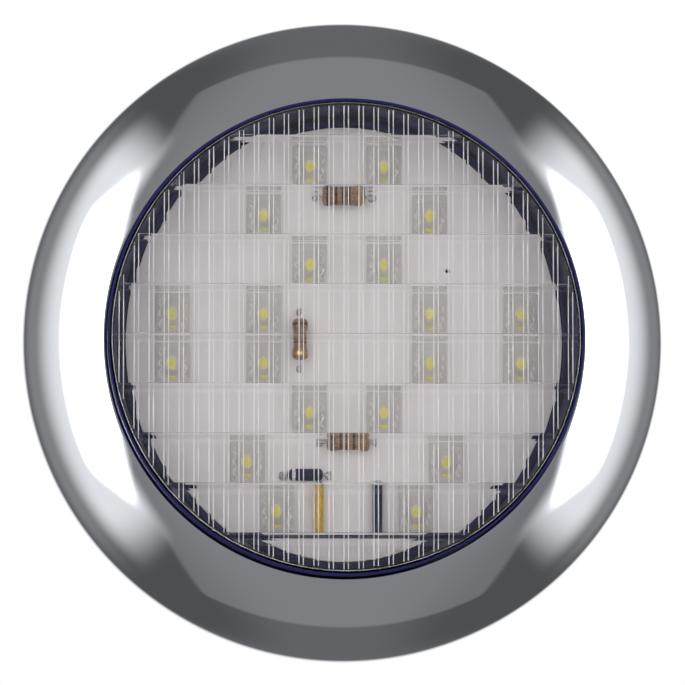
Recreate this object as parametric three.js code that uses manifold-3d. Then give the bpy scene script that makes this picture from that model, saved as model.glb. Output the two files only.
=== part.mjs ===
// Round surface-mount trailer lamp: clear fluted lens, white LED board, clip-on chrome trim ring.
// Millimetres, +Z up. The lamp shines along -Y and is screwed to a panel whose face is the plane y = 0.
// "Forward" below is the distance in front of that panel, so a point's y is minus its forward distance.

import * as THREE from 'three';
import { mergeVertices } from 'three/addons/utils/BufferGeometryUtils.js';
import Module from 'manifold-3d';

const wasm = await Module();
wasm.setup();

// ---- driving dimensions ----

const GAP = 0.3;
const OVERRUN = 1;
const MERGE_TOLERANCE = 1e-3;

const RING_R = 71;
const RING_LIP_R = 52.6;
const RING_LIP_FORWARD = 15;
const RING_RIM_FORWARD = 0.4;
const RING_WALL = 2;
const RING_LIP_EDGE = 0.8;
const RING_LIP_DEPTH = 4.2;
const RING_LIP_TAPER = 0.4;
const RING_LIP_SLOPE = 8;
const RING_LIP_REACH = 7;
const RING_SHOULDER_SHARE = 0.7;
const RING_RIM_STRAIGHT = 0.6;
const RING_STEPS = 9;
const RING_SEGMENTS = 64;

const LENS_R = 51.6;
const LENS_FRONT_R = 51.3;
const LENS_FORWARD = 25;
const LENS_WALL = 1.7;
const LENS_FACE = 2.4;
const LENS_FOOT_R = 53.8;
const LENS_FOOT = 2;
const LENS_EDGE_RADIUS = 0.6;
const SLEEVE_WALL = 0.4;
const SLEEVE_FORWARD = 24.2;

const GASKET_R = 66;
const GASKET_THICKNESS = 2;

const FLANGE_R = 67.5;
const FLANGE_BACK = GASKET_THICKNESS + GAP;
const FLANGE_FRONT = 5.3;
const FLANGE_CHAMFER = 1;
const GROOVE_FLOOR = 3.9;
const GROOVE_CLEARANCE = 0.5;
const SEAL_HEIGHT = 1.3;
const SEAL_INSET = 0.4;
const BODY_SEGMENTS = 56;
const BOSS_SEGMENTS = 32;
const HOLE_SEGMENTS = 20;

const BOARD_R = 48.2;
const BOARD_THICKNESS = 1.6;
const BOARD_BACK = 8.2;
const BOARD_FRONT = BOARD_BACK + BOARD_THICKNESS;
const TUB_CLEARANCE = 0.3;
const TUB_WALL = 1;
const TUB_RISE = 0.9;
const SHELF_WIDTH = 2.3;

const LED_SIDE = 7.6;
const LED_BASE = 2.6;
const LED_DOME_R = 2.6;
const LED_DOME_STRAIGHT = 1.2;
const LED_DOME_SEGMENTS = 10;
const LED_ROW_PITCH = 10.9;
const LED_NEAR_X = 8.2;
const LED_MID_X = 18.3;
const LED_FAR_X = 38.4;
const LED_LOW_X = 21.9;
const LED_BOTTOM_X = 15.3;
const LED_LAYOUT_X = 0.5;
const LED_LAYOUT_Z = 0.75;

const RESISTOR = { length: 9.6, radius: 1.45, endBulge: 0.25 };
const DIODE = { length: 7.6, radius: 1.1, endBulge: 0 };
const AXIAL_LIFT = 0.4;
const AXIAL_CAP_SHARE = 0.2;
const AXIAL_EDGE = 0.4;
const AXIAL_END_SHARE = 0.7;
const WIRE_R = 0.4;
const WIRE_REACH = 1.3;
const WIRE_BEND = 0.9;

const LEAD_R = 1.1;
const LEAD_BEND = 3;
const LEAD_START_Z = -33.2;
const LEAD_HOLE_Z = -42.5;
const LEAD_HOLE_R = 1.6;
const YELLOW_LEAD_X = -5.7;
const BLACK_LEAD_X = 7.3;
const LEAD_PAIR_X = 1.3;
const LEAD_END_FORWARD = -1;

const INLET_Z = -22;
const INLET_BORE_R = 3.2;
const BOSS_R = 10;
const BOSS_BORE_R = 7;
const BOSS_END = -8;
const GROMMET_END = -11;
const GROMMET_COLLAR_R = 9.4;
const GROMMET_COLLAR = 1.4;
const GROMMET_NOSE_WALL = 2.2;

const SCREW_CIRCLE_R = 60;
const SCREW_ANGLES = [90, 210, 330];
const SCREW_HOLE_R = 2.4;
const SCREW_R = 2;
const SCREW_TIP = -14;
const SCREW_POINT = 3.5;
const SCREW_HEAD_R = 3.9;
const SCREW_HEAD = 2.6;
const RECESS_LENGTH = 4.2;
const RECESS_WIDTH = 1;
const RECESS_DEPTH = 1.5;
const PAD_R = 5.6;
const PAD_HEIGHT = 1;
const SCREW_SEAT = FLANGE_FRONT + PAD_HEIGHT + GAP;

const CLIP_ANGLES = [30, 150, 270];
const CLIP_WIDTH = 8;
const CLIP_THICKNESS = 0.6;
const CLIP_FOOT_R = 58;
const CLIP_BEND_R = 64.9;
const CLIP_KNEE_R = 65.9;
const CLIP_KNEE_HEIGHT = 1.6;
const CLIP_TIP_R = 64.6;
const CLIP_HEIGHT = 3.1;

// ---- materials ----

function finish(color, roughness, metalness) {
  return new THREE.MeshStandardMaterial({ color, roughness, metalness });
}

const chrome = finish(0xc9cbd0, 0.06, 1);
const clearPlastic = finish(0xe6e9ee, 0.05, 0);
clearPlastic.transparent = true;
clearPlastic.opacity = 0.35;
const navyPlastic = finish(0x14182f, 0.4, 0);
const blackRubber = finish(0x17171a, 0.8, 0);
const foam = finish(0x26262a, 0.95, 0);
const siliconeRubber = finish(0x24262e, 0.6, 0);
const boardWhite = finish(0xd9d7d4, 0.5, 0);
const ledClear = finish(0xd8d6c0, 0.15, 0);
const resistorBrown = finish(0x8a6a4c, 0.5, 0);
const diodeBlack = finish(0x15151a, 0.35, 0);
const yellowSleeve = finish(0xc9a01e, 0.5, 0);
const blackSleeve = finish(0x14141c, 0.5, 0);
const stainless = finish(0xb8babd, 0.28, 1);

const group = new THREE.Group();

// ---- shape helpers ----

function addPart(name, geometry, material) {
  const mesh = new THREE.Mesh(geometry, material);
  mesh.name = name;
  group.add(mesh);
  return mesh;
}

function isClockwise(points) {
  let doubledArea = 0;
  points.forEach((point, i) => {
    const next = points[(i + 1) % points.length];
    doubledArea += point.x * next.y - next.x * point.y;
  });
  return doubledArea < 0;
}

// An outline of [radius, forward] pairs, turned about the lamp's axis. One that ends off the axis is closed.
function turned(outline, segments) {
  const points = outline.map(([radius, forward]) => new THREE.Vector2(radius, -forward));
  if (isClockwise(points)) points.reverse();
  if (points[0].x > MERGE_TOLERANCE) points.push(points[0].clone());
  return new THREE.LatheGeometry(points, segments);
}

function arc(centre, radius, startDegrees, endDegrees, steps) {
  return Array.from({ length: steps + 1 }, (_, i) => {
    const angle = THREE.MathUtils.degToRad(startDegrees + ((endDegrees - startDegrees) * i) / steps);
    return [centre[0] + radius * Math.cos(angle), centre[1] + radius * Math.sin(angle)];
  });
}

function toSolid(geometry) {
  const bare = geometry.clone();
  bare.deleteAttribute('normal');
  bare.deleteAttribute('uv');
  const merged = mergeVertices(bare, MERGE_TOLERANCE);
  const corners = merged.index.array;
  const triVerts = [];
  for (let i = 0; i < corners.length; i += 3) {
    const [a, b, c] = corners.slice(i, i + 3);
    if (a !== b && b !== c && c !== a) triVerts.push(a, b, c);
  }
  const vertProperties = merged.attributes.position.array;
  const mesh = new wasm.Mesh({ numProp: 3, vertProperties, triVerts: new Uint32Array(triVerts) });
  return new wasm.Manifold(mesh);
}

function toGeometry(solid) {
  const mesh = solid.getMesh();
  const geometry = new THREE.BufferGeometry();
  geometry.setAttribute('position', new THREE.BufferAttribute(mesh.vertProperties, 3));
  geometry.setIndex(new THREE.BufferAttribute(mesh.triVerts, 1));
  geometry.computeVertexNormals();
  return geometry;
}

function joined(...geometries) {
  return toGeometry(geometries.map(toSolid).reduce((whole, piece) => whole.add(piece)));
}

function cut(geometry, ...tools) {
  return toGeometry(tools.map(toSolid).reduce((whole, tool) => whole.subtract(tool), toSolid(geometry)));
}

// A round bar along the lamp's axis, centred at (x, z).
function bar(radius, fromForward, toForward, x, z, segments) {
  const geometry = new THREE.CylinderGeometry(radius, radius, Math.abs(toForward - fromForward), segments);
  return geometry.translate(x, -(fromForward + toForward) / 2, z);
}

function onScrewCircle(degrees) {
  const angle = THREE.MathUtils.degToRad(degrees);
  return { x: SCREW_CIRCLE_R * Math.cos(angle), z: SCREW_CIRCLE_R * Math.sin(angle) };
}

function barsAtScrews(radius, fromForward, toForward, segments) {
  return SCREW_ANGLES.map((degrees) => {
    const { x, z } = onScrewCircle(degrees);
    return bar(radius, fromForward, toForward, x, z, segments);
  });
}

// A tube along a smooth curve through [x, forward, z] points, with an even number of sides.
function tube(route, radius, steps, sides) {
  const points = route.map(([x, forward, z]) => new THREE.Vector3(x, -forward, z));
  const path = new THREE.CatmullRomCurve3(points, false, 'centripetal');
  const section = new THREE.Shape();
  section.absarc(0, 0, radius, 0, Math.PI * 2, false);
  return new THREE.ExtrudeGeometry(section, { steps, curveSegments: sides / 2, extrudePath: path });
}

// ---- housing, gasket and seals ----

function makeGasket() {
  const disc = turned(
    [[0, 0], [GASKET_R, 0], [GASKET_R, GASKET_THICKNESS], [0, GASKET_THICKNESS]],
    BODY_SEGMENTS,
  );
  const top = GASKET_THICKNESS + OVERRUN;
  const holes = barsAtScrews(SCREW_HOLE_R, -OVERRUN, top, HOLE_SEGMENTS);
  const bossHole = bar(BOSS_R + GAP, -OVERRUN, top, 0, INLET_Z, BOSS_SEGMENTS);
  addPart('foam_gasket', cut(disc, bossHole, ...holes), foam);
}

function makeHousing() {
  const tubInner = BOARD_R + TUB_CLEARANCE;
  const tubOuter = tubInner + TUB_WALL;
  const tubTop = BOARD_FRONT + TUB_RISE;
  const shelfInner = tubInner - SHELF_WIDTH;
  const shelfTop = BOARD_BACK - GAP;
  const grooveOuter = LENS_FOOT_R + GROOVE_CLEARANCE;
  const shell = turned(
    [
      [0, FLANGE_BACK], [FLANGE_R, FLANGE_BACK], [FLANGE_R, FLANGE_FRONT - FLANGE_CHAMFER],
      [FLANGE_R - FLANGE_CHAMFER, FLANGE_FRONT], [grooveOuter, FLANGE_FRONT],
      [grooveOuter, GROOVE_FLOOR], [tubOuter, GROOVE_FLOOR],
      [tubOuter, tubTop], [tubInner, tubTop], [tubInner, shelfTop], [shelfInner, shelfTop],
      [shelfInner, FLANGE_FRONT], [0, FLANGE_FRONT],
    ],
    BODY_SEGMENTS,
  );
  const inFlange = FLANGE_BACK + OVERRUN;
  const padTop = FLANGE_FRONT + PAD_HEIGHT;
  const boss = bar(BOSS_R, BOSS_END, inFlange, 0, INLET_Z, BOSS_SEGMENTS);
  const pads = barsAtScrews(PAD_R, inFlange, padTop, BOSS_SEGMENTS);
  const screwHoles = barsAtScrews(SCREW_HOLE_R, 0, padTop + OVERRUN, HOLE_SEGMENTS);
  const bore = bar(BOSS_BORE_R, BOSS_END - OVERRUN, FLANGE_FRONT + OVERRUN, 0, INLET_Z, BOSS_SEGMENTS);
  addPart('lamp_housing', cut(joined(shell, boss, ...pads), bore, ...screwHoles), navyPlastic);
}

function makeLensSeal() {
  const inner = LENS_R - LENS_WALL + SEAL_INSET;
  const outer = LENS_FOOT_R - GAP;
  const low = GROOVE_FLOOR + GAP;
  const high = GROOVE_FLOOR + SEAL_HEIGHT;
  addPart('lens_seal', turned(
    [[inner, low], [outer, low], [outer, high], [inner, high]],
    BODY_SEGMENTS,
  ), siliconeRubber);
}

function makeGrommet() {
  const plug = BOSS_BORE_R - GAP;
  const collarFront = BOSS_END - GAP;
  addPart('cable_grommet', turned(
    [
      [INLET_BORE_R, FLANGE_FRONT - GAP], [plug, FLANGE_FRONT - GAP], [plug, collarFront],
      [GROMMET_COLLAR_R, collarFront], [GROMMET_COLLAR_R, collarFront - GROMMET_COLLAR],
      [INLET_BORE_R + GROMMET_NOSE_WALL, GROMMET_END], [INLET_BORE_R, GROMMET_END],
    ],
    BOSS_SEGMENTS,
  ).translate(0, 0, INLET_Z), blackRubber);
}

// ---- lens and trim ring ----

function makeLens() {
  const foot = GROOVE_FLOOR + SEAL_HEIGHT + GAP;
  const innerR = LENS_R - LENS_WALL;
  const faceBack = LENS_FORWARD - LENS_FACE;
  const cornerCentre = [LENS_FRONT_R - LENS_EDGE_RADIUS, LENS_FORWARD - LENS_EDGE_RADIUS];
  addPart('lens', turned(
    [
      [0, faceBack], [LENS_FRONT_R - LENS_WALL, faceBack], [innerR, foot], [LENS_FOOT_R, foot],
      [LENS_FOOT_R, foot + LENS_FOOT], [LENS_R, foot + LENS_FOOT],
      ...arc(cornerCentre, LENS_EDGE_RADIUS, 0, 90, 4), [0, LENS_FORWARD],
    ],
    RING_SEGMENTS,
  ), clearPlastic);
}

// A thin dark band round the lens's side wall, from its foot nearly to its face.
function makeLensSleeve() {
  const bottom = GROOVE_FLOOR + SEAL_HEIGHT + GAP + LENS_FOOT + GAP;
  const inner = LENS_R + GAP;
  const outer = inner + SLEEVE_WALL;
  addPart('lens_sleeve', turned(
    [[inner, bottom], [outer, bottom], [outer, SLEEVE_FORWARD], [inner, SLEEVE_FORWARD]],
    RING_SEGMENTS,
  ), navyPlastic);
}

// The ring's domed section, from the lip round the lens down to the rim on the panel.
function domeCurve() {
  const lipDrop = RING_LIP_REACH * Math.tan(THREE.MathUtils.degToRad(RING_LIP_SLOPE));
  const start = new THREE.Vector2(RING_LIP_R + RING_LIP_EDGE, RING_LIP_FORWARD);
  const leaveLip = new THREE.Vector2(start.x + RING_LIP_REACH, start.y - lipDrop);
  const reachRim = new THREE.Vector2(RING_R, RING_LIP_FORWARD * RING_SHOULDER_SHARE);
  const rim = new THREE.Vector2(RING_R, RING_RIM_FORWARD + RING_RIM_STRAIGHT);
  return new THREE.CubicBezierCurve(start, leaveLip, reachRim, rim);
}

function makeTrimRing() {
  const curve = domeCurve();
  const outside = [];
  const inside = [];
  for (let i = 0; i <= RING_STEPS; i += 1) {
    const point = curve.getPoint(i / RING_STEPS);
    const along = curve.getTangent(i / RING_STEPS);
    outside.push([point.x, point.y]);
    inside.push([point.x + along.y * RING_WALL, point.y - along.x * RING_WALL]);
  }
  const lipBottom = RING_LIP_FORWARD - RING_LIP_DEPTH;
  const lipInner = RING_LIP_R + RING_WALL;
  const lipEdge = [RING_LIP_R + RING_LIP_EDGE, RING_LIP_FORWARD - RING_LIP_EDGE];
  const underside = inside.filter(([radius]) => radius > lipInner);
  addPart('trim_ring', turned(
    [
      [RING_LIP_R, lipBottom], ...arc(lipEdge, RING_LIP_EDGE, 180, 90, 2).slice(0, -1),
      ...outside, [RING_R, RING_RIM_FORWARD], [RING_R - RING_WALL, RING_RIM_FORWARD],
      ...underside.reverse(),
      [lipInner, RING_LIP_FORWARD - RING_WALL], [lipInner - RING_LIP_TAPER, lipBottom],
    ],
    RING_SEGMENTS,
  ), chrome);
}

// ---- board and its components ----

function makeBoard() {
  const disc = turned(
    [[0, BOARD_BACK], [BOARD_R, BOARD_BACK], [BOARD_R, BOARD_FRONT], [0, BOARD_FRONT]],
    BODY_SEGMENTS,
  );
  const holes = [YELLOW_LEAD_X, BLACK_LEAD_X].map((x) => (
    bar(LEAD_HOLE_R, BOARD_BACK - OVERRUN, BOARD_FRONT + OVERRUN, x, LEAD_HOLE_Z, HOLE_SEGMENTS)
  ));
  addPart('circuit_board', cut(disc, ...holes), boardWhite);
}

function ledGeometry() {
  const bottom = BOARD_FRONT + GAP;
  const top = bottom + LED_BASE;
  const base = new THREE.BoxGeometry(LED_SIDE, LED_BASE, LED_SIDE).translate(0, -(bottom + top) / 2, 0);
  const root = top - OVERRUN;
  const springLine = [0, top + LED_DOME_STRAIGHT];
  const dome = turned(
    [[0, root], [LED_DOME_R, root], ...arc(springLine, LED_DOME_R, 0, 90, 3)],
    LED_DOME_SEGMENTS,
  );
  return joined(base, dome);
}

// Rows from the top down: how far each row's pairs of LEDs stand from the middle.
const LED_ROWS = [
  [LED_NEAR_X], [LED_MID_X], [LED_NEAR_X], [LED_MID_X, LED_FAR_X],
  [LED_MID_X, LED_FAR_X], [LED_NEAR_X], [LED_LOW_X], [LED_BOTTOM_X],
];

function makeLeds() {
  const geometry = ledGeometry();
  const topZ = LED_LAYOUT_Z + ((LED_ROWS.length - 1) / 2) * LED_ROW_PITCH;
  let count = 0;
  LED_ROWS.forEach((offsets, row) => {
    offsets.forEach((offset) => {
      [-1, 1].forEach((side) => {
        count += 1;
        const led = addPart(`led_${String(count).padStart(2, '0')}`, geometry, ledClear);
        led.position.set(LED_LAYOUT_X + side * offset, 0, topZ - row * LED_ROW_PITCH);
      });
    });
  });
}

// A component with a round body and a wire at each end, bent down to the board.
function axialGeometry({ length, radius, endBulge }) {
  const half = length / 2;
  const capR = radius + endBulge;
  const endR = radius * AXIAL_END_SHARE;
  const capStart = half - length * AXIAL_CAP_SHARE;
  const outline = [
    [0, -half], [endR, -half], [capR, -half + AXIAL_EDGE],
    [capR, -capStart], [radius, -capStart + AXIAL_EDGE],
    [radius, capStart - AXIAL_EDGE], [capR, capStart],
    [capR, half - AXIAL_EDGE], [endR, half], [0, half],
  ];
  const foot = BOARD_FRONT + GAP;
  const axis = foot + AXIAL_LIFT + capR;
  const body = turned(outline, 10).rotateZ(Math.PI / 2).translate(0, -axis, 0);
  const reach = half + WIRE_REACH;
  const wire = tube(
    [[-reach, foot, 0], [-reach, axis - WIRE_BEND, 0], [-reach + WIRE_BEND, axis, 0],
      [reach - WIRE_BEND, axis, 0], [reach, axis - WIRE_BEND, 0], [reach, foot, 0]],
    WIRE_R, 14, 6,
  );
  return joined(body, wire);
}

function makeAxialParts() {
  const resistor = axialGeometry(RESISTOR);
  const diode = axialGeometry(DIODE);
  const places = [
    ['resistor_1', resistor, resistorBrown, -0.2, 31.3, 0],
    ['resistor_2', resistor, resistorBrown, -9.8, 0.5, Math.PI / 2],
    ['resistor_3', resistor, resistorBrown, 0.8, -22.9, 0],
    ['diode', diode, diodeBlack, -8.5, -28.9, 0],
  ];
  places.forEach(([name, geometry, material, x, z, turn]) => {
    const part = addPart(name, geometry, material);
    part.position.set(x, 0, z);
    part.rotation.y = turn;
  });
}

// From the solder joint over the board, through a hole, and back behind the board to the inlet.
function makeLead(name, x, side, material) {
  const front = BOARD_FRONT + GAP + LEAD_R;
  const behind = (FLANGE_FRONT + BOARD_BACK) / 2;
  const middle = (BOARD_FRONT + BOARD_BACK) / 2;
  const pairX = side * LEAD_PAIR_X;
  addPart(name, tube(
    [
      [x, front, LEAD_START_Z], [x, front, LEAD_START_Z - LEAD_BEND],
      [x, front, LEAD_HOLE_Z + LEAD_BEND], [x, front - LEAD_R / 8, LEAD_HOLE_Z + LEAD_BEND / 3],
      [x, middle, LEAD_HOLE_Z],
      [x, behind + LEAD_R / 8, LEAD_HOLE_Z + LEAD_BEND / 3], [x, behind, LEAD_HOLE_Z + LEAD_BEND],
      [(x + pairX) / 2, behind, (LEAD_HOLE_Z + INLET_Z) / 2],
      [pairX, behind, INLET_Z - LEAD_BEND * 1.5], [pairX, behind - LEAD_BEND / 10, INLET_Z - LEAD_BEND * 0.6],
      [pairX, behind - LEAD_BEND * 0.65, INLET_Z - LEAD_BEND / 10],
      [pairX, FLANGE_FRONT - LEAD_BEND, INLET_Z], [pairX, LEAD_END_FORWARD, INLET_Z],
    ],
    LEAD_R, 34, 8,
  ), material);
}

// ---- fasteners ----

function screwGeometry() {
  const top = SCREW_SEAT + SCREW_HEAD;
  const screw = turned(
    [
      [0, SCREW_TIP], [SCREW_R, SCREW_TIP + SCREW_POINT], [SCREW_R, SCREW_SEAT], [SCREW_HEAD_R, SCREW_SEAT],
      [SCREW_HEAD_R, SCREW_SEAT + SCREW_HEAD * 0.45], [SCREW_HEAD_R * 0.88, SCREW_SEAT + SCREW_HEAD * 0.8],
      [SCREW_HEAD_R * 0.6, top], [0, top],
    ],
    HOLE_SEGMENTS,
  );
  const recess = [0, Math.PI / 2].map((turn) => (
    new THREE.BoxGeometry(RECESS_LENGTH, RECESS_DEPTH * 2, RECESS_WIDTH).rotateY(turn).translate(0, -top, 0)
  ));
  return cut(screw, ...recess);
}

function makeScrews() {
  const geometry = screwGeometry();
  SCREW_ANGLES.forEach((degrees, i) => {
    const { x, z } = onScrewCircle(degrees);
    addPart(`mount_screw_${i + 1}`, geometry, stainless).position.set(x, 0, z);
  });
}

// A bent steel strip on the flange that grips the inside of the trim ring.
function clipGeometry() {
  const seat = FLANGE_FRONT + GAP;
  const t = CLIP_THICKNESS;
  const outline = new THREE.Shape([
    [CLIP_FOOT_R, seat], [CLIP_BEND_R, seat], [CLIP_KNEE_R, seat + CLIP_KNEE_HEIGHT],
    [CLIP_TIP_R, seat + CLIP_HEIGHT], [CLIP_TIP_R - t, seat + CLIP_HEIGHT - t / 3],
    [CLIP_KNEE_R - t, seat + CLIP_KNEE_HEIGHT], [CLIP_BEND_R - t * 0.6, seat + t], [CLIP_FOOT_R, seat + t],
  ].map(([radius, forward]) => new THREE.Vector2(radius, forward)));
  const strip = new THREE.ExtrudeGeometry(outline, { depth: CLIP_WIDTH, bevelEnabled: false });
  return strip.translate(0, 0, -CLIP_WIDTH / 2).rotateX(Math.PI);
}

function makeClips() {
  const geometry = clipGeometry();
  CLIP_ANGLES.forEach((degrees, i) => {
    const clip = addPart(`spring_clip_${i + 1}`, geometry, stainless);
    clip.rotation.y = -THREE.MathUtils.degToRad(degrees);
  });
}

makeGasket();
makeHousing();
makeGrommet();
makeLensSeal();
makeLens();
makeLensSleeve();
makeBoard();
makeLeds();
makeAxialParts();
makeLead('lead_yellow', YELLOW_LEAD_X, -1, yellowSleeve);
makeLead('lead_black', BLACK_LEAD_X, 1, blackSleeve);
makeScrews();
makeClips();
makeTrimRing();

export default group;
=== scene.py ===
"""Round LED trailer lamp: clear fluted lens, white board and chrome trim ring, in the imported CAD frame.

The lamp shines along -Y and its gasket lies on the plane y = 0. Outlines are written in millimetres as
(radius, forward), where forward is the distance in front of that plane; meshes are made in metres.
"""

import math

import bmesh
import bpy
from mathutils import Matrix, Vector


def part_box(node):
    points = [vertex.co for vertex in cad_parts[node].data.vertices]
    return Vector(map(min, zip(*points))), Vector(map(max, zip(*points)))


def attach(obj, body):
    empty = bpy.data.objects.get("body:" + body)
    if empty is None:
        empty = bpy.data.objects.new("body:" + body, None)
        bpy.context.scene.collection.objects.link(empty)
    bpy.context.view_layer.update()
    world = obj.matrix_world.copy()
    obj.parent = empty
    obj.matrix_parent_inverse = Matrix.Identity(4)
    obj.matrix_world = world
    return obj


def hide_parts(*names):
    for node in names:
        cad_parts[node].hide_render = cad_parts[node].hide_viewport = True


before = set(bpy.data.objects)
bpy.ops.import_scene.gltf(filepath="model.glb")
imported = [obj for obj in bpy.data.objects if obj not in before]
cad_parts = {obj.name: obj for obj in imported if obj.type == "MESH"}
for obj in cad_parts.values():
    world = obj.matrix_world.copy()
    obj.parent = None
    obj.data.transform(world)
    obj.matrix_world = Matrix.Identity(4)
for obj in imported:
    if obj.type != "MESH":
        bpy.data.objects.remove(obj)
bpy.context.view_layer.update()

MM = 0.001
AXIS = 1e-6
ROUND = 192
FINE_ROUND = 256
SHARP_DEGREES = 32
CORNER_SHARE = 0.45


def node_box(node):
    """A CAD node's lowest and highest corners, in millimetres."""
    low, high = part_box(node)
    return low / MM, high / MM


def node_centre(node):
    low, high = node_box(node)
    return (low + high) / 2


# ---- sizes taken from the frame, in millimetres ----

TOUCH_GAP = 0.3

ring_low, ring_high = node_box("trim_ring")
RING_R = ring_high.x
RING_RIM = -ring_high.y
RING_LIP = -ring_low.y

lens_low, lens_high = node_box("lens")
LENS_FOOT_R = lens_high.x
LENS_FOOT = -lens_high.y
LENS_FACE = -lens_low.y
LENS_FOOT_WIDTH = 2.2
LENS_TAPER = 0.3
LENS_R = LENS_FOOT_R - LENS_FOOT_WIDTH
LENS_FRONT_R = LENS_R - LENS_TAPER

LIP_GAP = 1.0
LIP_R = LENS_R + LIP_GAP

gasket_low, gasket_high = node_box("foam_gasket")
GASKET_R = gasket_high.x
GASKET_THICKNESS = -gasket_low.y

housing_low, housing_high = node_box("lamp_housing")
FLANGE_R = housing_high.x
FLANGE_BACK = GASKET_THICKNESS + TOUCH_GAP
FLANGE_FRONT = 5.3
TUB_TOP = -housing_low.y
BOSS_END = -housing_high.y
BOSS_R = 10

board_low, board_high = node_box("circuit_board")
BOARD_R = board_high.x
BOARD_FRONT = -board_low.y
BOARD_BACK = -board_high.y

grommet_low, grommet_high = node_box("cable_grommet")
INLET = node_centre("cable_grommet")
GROMMET_TOP = -grommet_low.y
GROMMET_END = -grommet_high.y
GROMMET_R = (grommet_high.x - grommet_low.x) / 2

seal_low, seal_high = node_box("lens_seal")
sleeve_low, sleeve_high = node_box("lens_sleeve")

SCREWS = ["mount_screw_1", "mount_screw_2", "mount_screw_3"]
CLIPS = ["spring_clip_1", "spring_clip_2", "spring_clip_3"]
LEDS = [f"led_{n:02d}" for n in range(1, 21)]

led_heights = [node_centre(node).z for node in LEDS]
LAYOUT_Z = (min(led_heights) + max(led_heights)) / 2
BAND = 10.9
FLUTE = 3.28


# ---- mesh helpers ----


def smooth_step(low, high, value):
    t = min(max((value - low) / (high - low), 0.0), 1.0)
    return t * t * (3 - 2 * t)


def paint(mesh, *names):
    """Give a mesh its finishes, in the order of its material slots."""
    for name in names:
        mesh.materials.append(finishes[name])


def add_object(name, mesh, *finish_names):
    piece = bpy.data.objects.new(name, mesh)
    bpy.context.scene.collection.objects.link(piece)
    paint(mesh, *finish_names)
    return piece


def finish_mesh(bm, name, sharp_degrees=SHARP_DEGREES):
    bmesh.ops.recalc_face_normals(bm, faces=bm.faces)
    mesh = bpy.data.meshes.new(name)
    bm.to_mesh(mesh)
    bm.free()
    soften(mesh, sharp_degrees)
    return mesh


def soften(mesh, sharp_degrees=SHARP_DEGREES):
    """Smooth shading, with edges sharper than the angle left crisp."""
    mesh.shade_smooth()
    mesh.set_sharp_from_angle(angle=math.radians(sharp_degrees))


def circle(count):
    """The cosine and sine of equal steps round a circle."""
    angles = [2 * math.pi * k / count for k in range(count)]
    return [(math.cos(angle), math.sin(angle)) for angle in angles]


def turn(bm, outline, segments=ROUND, centre=(0, 0), slot=0):
    """Turn a closed outline of (radius, forward) points about an axis along Y through centre (x, z)."""
    rings = []
    for radius, forward in outline:
        count = 1 if radius < AXIS else segments
        ring = []
        for cosine, sine in circle(segments)[:count]:
            x = centre[0] + radius * cosine
            z = centre[1] + radius * sine
            ring.append(bm.verts.new((x * MM, -forward * MM, z * MM)))
        rings.append(ring)
    for i, ring in enumerate(rings):
        after = rings[(i + 1) % len(rings)]
        if len(ring) == len(after) == 1:
            continue
        for k in range(segments):
            j = (k + 1) % segments
            near = [ring[k % len(ring)], ring[j % len(ring)]]
            far = [after[j % len(after)], after[k % len(after)]]
            bm.faces.new(list(dict.fromkeys(near + far))).material_index = slot
    return bm


def lathe(name, outline, segments=ROUND, centre=(0, 0), sharp_degrees=SHARP_DEGREES):
    return finish_mesh(turn(bmesh.new(), outline, segments, centre), name, sharp_degrees)


def arc(centre, radius, start, end, steps):
    """Points on an arc, with its angles in degrees."""
    points = []
    for i in range(steps + 1):
        angle = math.radians(start + (end - start) * i / steps)
        points.append((centre[0] + radius * math.cos(angle), centre[1] + radius * math.sin(angle)))
    return points


def rounded(outline, radius, steps=4):
    """A closed outline with each corner off the axis rounded."""
    result = []
    count = len(outline)
    for i, corner in enumerate(outline):
        here = Vector(corner)
        if here.x < AXIS:
            result.append(corner)
            continue
        before = Vector(outline[i - 1]) - here
        after = Vector(outline[(i + 1) % count]) - here
        reach = min(radius, before.length * CORNER_SHARE, after.length * CORNER_SHARE)
        start = here + before.normalized() * reach
        end = here + after.normalized() * reach
        for k in range(steps + 1):
            t = k / steps
            result.append(tuple(start * (1 - t) ** 2 + here * 2 * t * (1 - t) + end * t**2))
    return result


def cut(piece, cutter_mesh, operation="DIFFERENCE", sharp_degrees=SHARP_DEGREES):
    """Cut a mesh out of a piece, or join it on, and keep the result, with no finish, as its mesh."""
    cutter = add_object("cutter", cutter_mesh)
    modifier = piece.modifiers.new("cut", "BOOLEAN")
    modifier.operation = operation
    modifier.solver = "EXACT"
    modifier.object = cutter
    depsgraph = bpy.context.evaluated_depsgraph_get()
    result = bpy.data.meshes.new_from_object(piece.evaluated_get(depsgraph))
    piece.modifiers.clear()
    piece.data = result
    result.materials.clear()
    bpy.data.objects.remove(cutter)
    soften(result, sharp_degrees)


def rod_mesh(name, radius, from_forward, to_forward, x, z, segments=48):
    outline = [(0, from_forward), (radius, from_forward), (radius, to_forward), (0, to_forward)]
    return lathe(name, outline, segments, (x, z))


def skin(bm, rings, slots):
    """Join rings of points into a closed tube, with a material slot for each span between two rings."""
    for ring, after, slot in zip(rings, rings[1:], slots):
        for k in range(len(ring)):
            j = (k + 1) % len(ring)
            bm.faces.new([ring[k], ring[j], after[j], after[k]]).material_index = slot
    bm.faces.new(rings[0]).material_index = slots[0]
    bm.faces.new(rings[-1]).material_index = slots[-1]


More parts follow.
